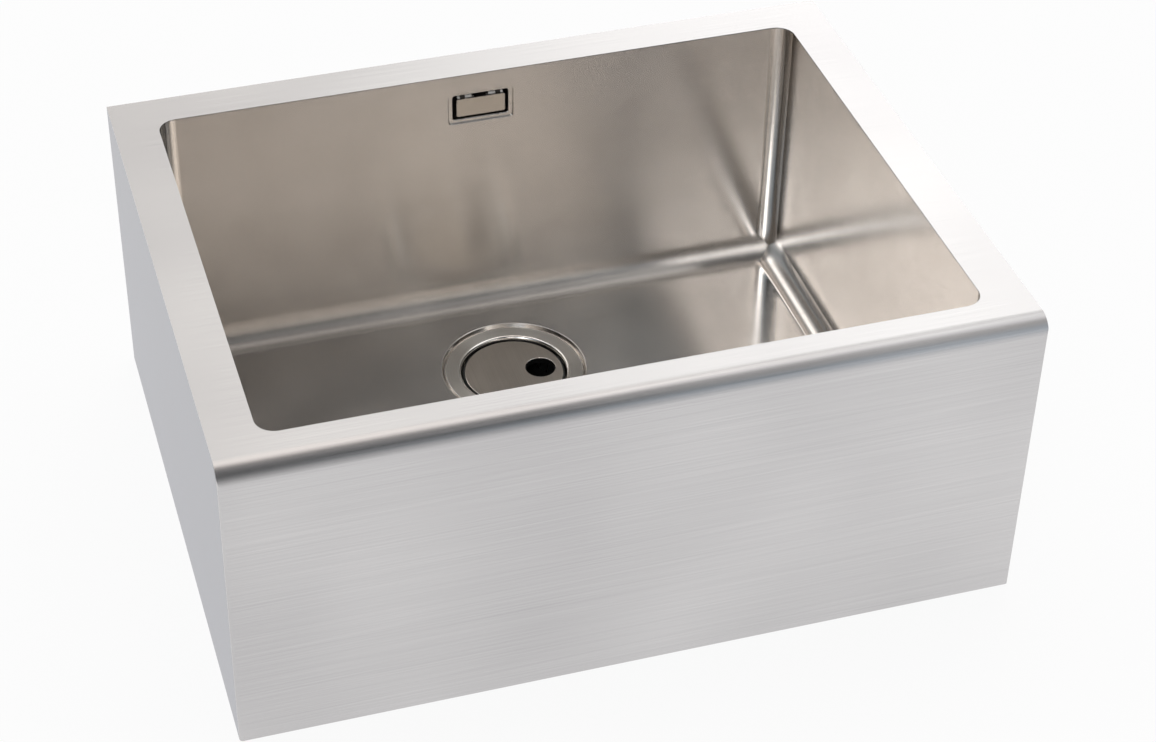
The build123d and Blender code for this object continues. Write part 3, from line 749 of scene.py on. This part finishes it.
# Both are bright from the lathe, with a blurred highlight.
brass = plain_metal("machined_brass", "#D9B877", "#C6A05C", 0.3)
fixing_steel = plain_metal("bright_steel", "#CFCFD1", "#BDBDC0", 0.28)
smooth_copy("waste_insert", "sink", "turned_brass", brass)
smooth_copy("waste_screw", "sink", "fixing_steel", fixing_steel)


# ---- basket ----
# Moulded black polypropylene, slotted all round and in its floor, with a post and knob to lift it by.
# It stands loose in the strainer's cup on its seal, and shines softly where light reaches it.
black_plastic = moulded("black_polypropylene", "#202020", "#161616", 0.35, 0.4 * mm, 0.12)
smooth_copy("basket", "basket", "moulded_black", black_plastic)


# ---- waste cover ----
# A disc of 1.5 mm stainless, brushed straight across and polished at its rims, on a black carrier that
# centres it in the basket's mouth. A fingertip lifts it by the hole.
cover_low, cover_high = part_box("cover_plate")
cover_r = cover_high.x - waste_at.x
finger_r = 12.5 * mm
finger_x = 23 * mm
rim_round = 0.4 * mm
cover_outline = [(0, cover_low.z), (cover_r, cover_low.z), (cover_r, cover_high.z), (0, cover_high.z)]
cover = turned("waste_cover", cover_outline, [(1, rim_round / 2, 2), (2, rim_round, 5)], steps=160)
finger_at = waste_at + Vector((finger_x, 0, 0))
hole = [
    (0, cover_low.z - overrun),
    (finger_r, cover_low.z - overrun),
    (finger_r, cover_high.z + hair),
    (finger_r + 4 * rim_round, cover_high.z + hair),
    (finger_r + 4 * rim_round, cover_high.z + 2 * hair),
    (0, cover_high.z + 2 * hair),
]
combine(cover, turned("finger_hole", hole, [(2, rim_round, 5)], finger_at, 96), "DIFFERENCE")
shade(cover, 15)

# Brushed with a coarser belt than the bowl, so it is duller and shows its lines.
cover_steel = brushed(
    "brushed_cover_steel", "#E2D9CF", "#C5BBB0", grain_along_y, across_y, 0.3, smear=0.6
)
finish(cover, "cover", ["cover_plate"], "brushed_cover", cover_steel, lip_steel)
paint(cover, 1, rounded_or_upright)
smooth_copy("cover_carrier", "cover", "moulded_black", black_plastic)


# ---- overflow chamber and pipe ----
# A moulded chamber clamped behind the port by two welded studs, and a rigid pipe from it to the waste's
# side inlet, sealed at each end by a washer under a fluted ring nut.
# The chamber's polypropylene looks warm and dark behind the port, where little light reaches it.
chamber_plastic = moulded("dark_polypropylene", "#5A544E", "#463F3A", 0.5, 0.4 * mm, 0.15)
smooth_copy("overflow_housing", "sink", "moulded_black", chamber_plastic)
for name in ("overflow_studs", "overflow_nuts"):
    smooth_copy(name, "sink", "fixing_steel", fixing_steel)
for name in ("overflow_pipe", "pipe_nut_upper", "pipe_nut_lower"):
    smooth_copy(name, "sink", "moulded_grey", grey_plastic)


# ---- overflow cover ----
# A small pressed stainless cover, brushed along its length, with turned-back flanges whose spring
# fingers grip the port's lip. Water passes all round it.
plate_low, plate_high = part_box("overflow_cover")
plate_t = 0.8 * mm
plate_r = 1.5 * mm
plate_break = 0.35 * mm
notch_w = 10 * mm
lip_rise, lip_start, lip_run = 1.6 * mm, 1.2 * mm, 1.8 * mm
lip_spans = ((-19.2, -17), (-13, -7), (7, 13), (17, 19.2))  # in millimetres from the middle
plate_back = plate_low.y + plate_t
overflow_cover = block("overflow_plate", plate_low, (plate_high.x, plate_back, plate_high.z))
round_edges(overflow_cover, along(1), plate_r, 8)
flange_x = plate_high.x - plate_r
flange_low = (-flange_x, plate_low.y, plate_low.z)
flanges = block("flanges", flange_low, (flange_x, plate_high.y, plate_high.z))
combine(overflow_cover, flanges, "UNION")
hollow = block(
    "hollow", (-far, plate_back, plate_low.z + plate_t), (far, far, plate_high.z - plate_t)
)
combine(overflow_cover, hollow, "DIFFERENCE")
notch = block("notch", (-notch_w / 2, plate_back, overflow_z), (notch_w / 2, far, far))
combine(overflow_cover, notch, "DIFFERENCE")
lip_front = plate_back + lip_start
lip_top = plate_high.z + lip_rise
for start, end in lip_spans:
    low = (start * mm, lip_front, plate_high.z - plate_t / 2)
    lip = block("spring_lip", low, (end * mm, lip_front + lip_run, lip_top))
    ridge = along(0, (1, -far, lip_front + hair), (2, lip_top - hair, far))
    combine(overflow_cover, round_edges(lip, ridge, lip_rise, 1), "UNION")
break_edges(overflow_cover, plate_break, steps=3)
shade(overflow_cover, 15)

# Its face is brushed like the bowl. Behind the face it is even, unbrushed sheet painted nearly white, a
# painted highlight for the light its flanges and lips catch in the gap round the face.
# The spring steel of its fingers is dark from hardening.
plate_steel = brushed("brushed_plate_steel", "#DED6CC", "#CFC7BD", grain_along_x, across_x, 0.26)
highlight_painted_steel = brushed(
    "unbrushed_steel_painted_highlight", "#F7F5F2", "#EFECE8", grain_along_x, across_x, 0.45, smear=0
)
finish(overflow_cover, "overflow_cover", ["overflow_cover"], "brushed_cover", plate_steel, highlight_painted_steel)
# The faces behind the front take the nearly white steel, the painted highlight.
paint(overflow_cover, 1, lambda face: face.center.y > plate_back + cut_edge)
spring_steel = plain_metal("blued_spring_steel", "#55504B", "#3D3834", 0.4)
smooth_copy("overflow_clips", "overflow_cover", "fixing_steel", spring_steel)


# ---- base frame and pads ----
# A folded frame of plain cold rolled sheet, on which the sink stands, and felted bitumen pads, glued to
# the bowl to deaden its sound.
# Cold rolled sheet is smooth and grey. The felted pads are rough and look nearly black.
mill_sheet = plain_metal("cold_rolled_steel", "#C9C9CC", "#B9B9BD", 0.35)
smooth_copy("base_frame", "sink", "mill_sheet", mill_sheet)
bitumen = moulded("felted_bitumen", "#3F3F42", "#2E2E31", 0.9, 1.2 * mm, 0.6)
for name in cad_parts:
    if "_pad" in name:
        smooth_copy(name, "sink", "bitumen_pad", bitumen)


# ---- studio ----
# A studio with broad soft panels of light all round, a faint even light between them, and a white floor.
# The floor has a pit under the sink, as a cabinet has, because the waste hangs below the sink's base.
def room_light(sky, toward, azimuth, elevation, width, colour, strength):
    """The light of one large soft panel, seen in its direction from the sink, fading to its edge."""
    turn, rise = math.radians(azimuth), math.radians(elevation)
    aim = (math.sin(turn) * math.cos(rise), math.cos(turn) * math.cos(rise), math.sin(rise))
    nearness = add(sky, "VectorMath", {0: toward, 1: aim}, operation="DOT_PRODUCT").outputs["Value"]
    edge = math.cos(math.radians(width))
    fade = add(
        sky,
        "MapRange",
        {"Value": nearness, 1: edge, 2: 1.0, 3: 0.0, 4: strength},
        interpolation_type="SMOOTHSTEP",
    )
    tint = add(
        sky, "VectorMath", {0: linear(colour)[:3], "Scale": fade.outputs["Result"]}, operation="SCALE"
    )
    return tint.outputs["Vector"]


def light_room(even, panels):
    """The world: an even light and the panels, and white above the floor's far edge."""
    world = bpy.data.worlds.new("studio")
    bpy.context.scene.world = world
    world.use_nodes = True
    sky = world.node_tree
    sky.nodes.clear()
    place = add(sky, "TexCoord").outputs["Generated"]
    toward = add(sky, "VectorMath", {0: place}, operation="NORMALIZE").outputs["Vector"]
    total = add(sky, "CombineXYZ", {0: even, 1: even, 2: even}).outputs[0]
    for panel in panels:
        light = room_light(sky, toward, *panel)
        total = add(sky, "VectorMath", {0: total, 1: light}, operation="ADD").outputs["Vector"]
    direct = add(sky, "LightPath").outputs["Is Camera Ray"]
    seen = add(sky, "Mix", {0: direct, 6: total, 7: linear("#FFFFFF")}, data_type="RGBA").outputs[2]
    background = add(sky, "Background", {"Color": seen})
    add(sky, "OutputWorld", {"Surface": background.outputs["Background"]})


# Azimuth from the back, clockwise seen from above, elevation, half width, colour and strength.
panels = [
    (2, 26, 16, "#FFF8F0", 0.45),
    (14, 38, 16, "#FFFFFF", 0.8),
    (26, 26, 16, "#FFFFFF", 1.3),
    (38, 26, 16, "#FFFFFF", 0.2),
    (150, 57, 12, "#FFFFFF", 0.45),
    (188, 51, 7, "#FFF8F2", 1.2),
    (190, 48, 12, "#FFF8F2", 1.2),
    (210, 32, 12, "#FCFCFF", 2.0),
    (210, 40, 7, "#F8FEFF", 0.9),
    (210, 40, 12, "#E0F2FF", 0.6),
    (216, 40, 7, "#FFF8F4", 1.4),
    (216, 46, 7, "#FFF6E8", 1.3),
    (220, 40, 12, "#FFFFFF", 1.7),
    (0, 75, 26, "#FFF8F2", 1.7),
    (25, 40, 26, "#FFFFFA", 0.7),
    (42, 22, 26, "#FFFFFF", 0.95),
    (80, 58, 26, "#FFFFFF", 1.4),
    (128, 40, 26, "#FFF8F0", 0.45),
    (148, 22, 26, "#D4ECFF", 0.4),
    (160, 4, 26, "#FFFFFF", 0.5),
    (200, 58, 26, "#ECF4FF", 0.15),
    (231, 40, 26, "#E0F0FF", 0.55),
    (320, 58, 26, "#FAFAFF", 1.8),
    (334, 40, 26, "#E8F8FF", 0.65),
]
light_room(even=0.02, panels=panels)

floor_reach = 6
floor_drop = 0.1 * mm  # keeps it just clear of the base
pit_x, pit_y, pit_depth = 250 * mm, 180 * mm, 150 * mm
floor_low = (-floor_reach, -floor_reach, -floor_reach)
floor = block("floor", floor_low, (floor_reach, floor_reach, -floor_drop))
combine(floor, block("pit", (-pit_x, -pit_y, -pit_depth), (pit_x, pit_y, far)), "DIFFERENCE")

# Matt white paint. Seen straight or mirrored it is white with a faint share of its shading, which keeps
# the sink's shadow. To all other light it is paint alone.
shadow_share = 0.08
floor_paint, tree, _ = new_material("white_floor")
painted = add(tree, "BsdfDiffuse", {"Color": linear("#FAFAFA")}).outputs[0]
glow = add(tree, "Emission", {"Color": linear("#FFFFFF"), "Strength": 1.0}).outputs[0]
shown = add(tree, "MixShader", {0: shadow_share, 1: glow, 2: painted}).outputs[0]
ray = add(tree, "LightPath").outputs
seen = ray["Is Camera Ray"]
for kind in ("Is Glossy Ray", "Is Transmission Ray"):
    seen = add(tree, "Math", {0: seen, 1: ray[kind]}, operation="ADD").outputs[0]
by_ray = add(tree, "MixShader", {0: seen, 1: painted, 2: shown}).outputs[0]
add(tree, "OutputMaterial", {"Surface": by_ray})
floor.data.materials.append(floor_paint)
bpy.context.scene.view_settings.view_transform = "Standard"
